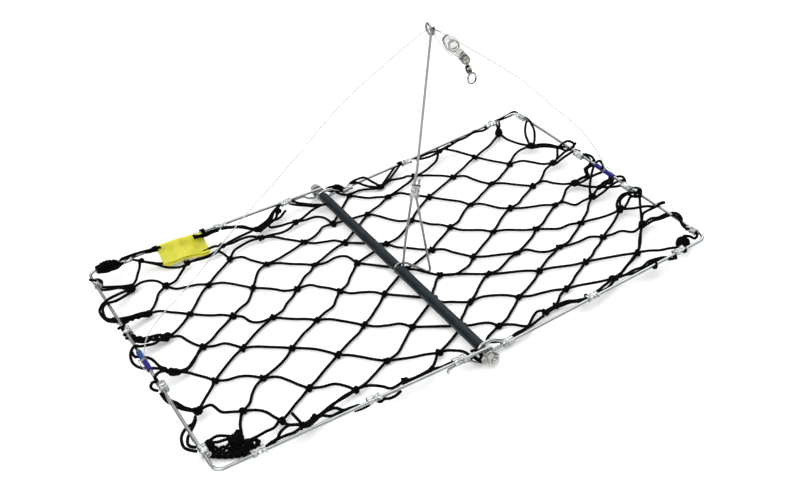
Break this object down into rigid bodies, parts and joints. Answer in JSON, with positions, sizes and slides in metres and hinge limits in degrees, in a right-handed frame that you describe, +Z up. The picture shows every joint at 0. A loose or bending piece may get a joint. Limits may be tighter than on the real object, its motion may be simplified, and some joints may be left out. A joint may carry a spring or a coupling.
{
  "type": "castable crab trap",
  "caption": "Flat folding wire-frame crab trap with a knotted net, a bent-wire mast, pull lines, a line lock and a swivel; both wings fold up about the middle rod.",
  "frame": {"origin": "on the floor, under the middle of the hinge rod", "axes": "+Z up, +Y along the hinge rod away from the viewer's side, +X towards the wing on the viewer's right"},
  "size_m": [0.5052, 0.3368, 0.2433],
  "materials": {
    "stainless_wire": "drawn",
    "steel_hardware": "plain",
    "pressed_aluminium": "pressed",
    "black_twine": "twisted twine",
    "dark_tube": "satin",
    "blue_sleeve": "smooth",
    "clear_line": "clear",
    "clear_housing": "translucent",
    "nickel": "polished",
    "yellow_plastic": "smooth"
  },
  "bodies": {
    "centre": {"rod": "steel_hardware", "sleeve_far": "dark_tube", "sleeve_near": "dark_tube", "washer_far": "steel_hardware", "washer_near": "steel_hardware", "nut_far": "steel_hardware", "nut_near": "steel_hardware", "line_left_lower": "clear_line", "line_right_lower": "clear_line"},
    "left_wing": {"left_wing_wire": "stainless_wire", "left_clamp_01": "pressed_aluminium", "left_clamp_02": "pressed_aluminium", "left_clamp_03": "pressed_aluminium", "left_clamp_04": "pressed_aluminium", "left_clamp_05": "pressed_aluminium", "left_clamp_06": "pressed_aluminium", "left_clamp_07": "pressed_aluminium", "left_clamp_08": "pressed_aluminium", "left_clamp_09": "pressed_aluminium", "left_clamp_10": "pressed_aluminium", "net_left": "black_twine", "net_bundle_left_far": "black_twine", "net_bundle_left_near": "black_twine", "net_gather_left_far": "black_twine", "line_sleeve_left": "blue_sleeve", "tag": "yellow_plastic", "tag_tie_1": "black_twine", "tag_tie_2": "black_twine"},
    "right_wing": {"right_wing_wire": "stainless_wire", "right_clamp_01": "pressed_aluminium", "right_clamp_02": "pressed_aluminium", "right_clamp_03": "pressed_aluminium", "right_clamp_04": "pressed_aluminium", "right_clamp_05": "pressed_aluminium", "right_clamp_06": "pressed_aluminium", "right_clamp_07": "pressed_aluminium", "right_clamp_08": "pressed_aluminium", "right_clamp_09": "pressed_aluminium", "right_clamp_10": "pressed_aluminium", "net_right": "black_twine", "net_bundle_right_far": "black_twine", "net_bundle_right_near": "black_twine", "line_sleeve_right": "blue_sleeve"},
    "mast": {"mast_wire": "stainless_wire", "mast_ferrule": "pressed_aluminium", "line_left_upper": "clear_line", "line_right_upper": "clear_line", "lock_line_first": "clear_line", "lock_line_second": "clear_line"},
    "lock": {"lock_housing": "clear_housing"},
    "swivel_eye": {"swivel_eye": "nickel"},
    "swivel_barrel": {"swivel_barrel": "nickel"},
    "swivel_ring": {"swivel_ring": "nickel"}
  },
  "joints": [
    {"name": "left_wing_fold", "type": "hinge", "parent": "centre", "child": "left_wing", "pos_m": [0, 0, 0.0095], "axis": [0, 1, 0], "range_deg": [0, 80], "deforming": ["net_left", "line_left_lower", "line_left_upper"]},
    {"name": "right_wing_fold", "type": "hinge", "parent": "centre", "child": "right_wing", "pos_m": [0, 0, 0.0095], "axis": [0, -1, 0], "range_deg": [0, 80], "deforming": ["net_right", "line_right_lower", "line_right_upper"]},
    {"name": "mast_tilt", "type": "hinge", "parent": "centre", "child": "mast", "pos_m": [0, 0, 0.0095], "axis": [0, -1, 0], "range_deg": [0, 12]},
    {"name": "line_pull", "type": "slide", "parent": "mast", "child": "lock", "axis": [0.195, 0, 0.9808], "range_m": [0, 0.3003], "deforming": ["lock_line_first", "lock_line_second"]},
    {"name": "swivel_swing", "type": "hinge", "parent": "lock", "child": "swivel_eye", "pos_m": [0.07699, -0.01922, 0.20814], "axis": [0.1316, 0.9687, -0.2103], "range_deg": [-60, 60]},
    {"name": "barrel_spin", "type": "hinge", "parent": "swivel_eye", "child": "swivel_barrel", "pos_m": [0.07986, -0.02031, 0.19732], "axis": [0.255, -0.097, -0.9621], "continuous": true},
    {"name": "ring_spin", "type": "hinge", "parent": "swivel_barrel", "child": "swivel_ring", "pos_m": [0.07986, -0.02031, 0.19732], "axis": [0.255, -0.097, -0.9621], "continuous": true}
  ],
  "couplings": [
    {"joint": "right_wing_fold", "follows": "left_wing_fold", "ratio": 1},
    {"joint": "mast_tilt", "follows": "left_wing_fold", "ratio": 0.15},
    {"joint": "line_pull", "follows": "left_wing_fold", "m_per_rad": 0.215}
  ]
}
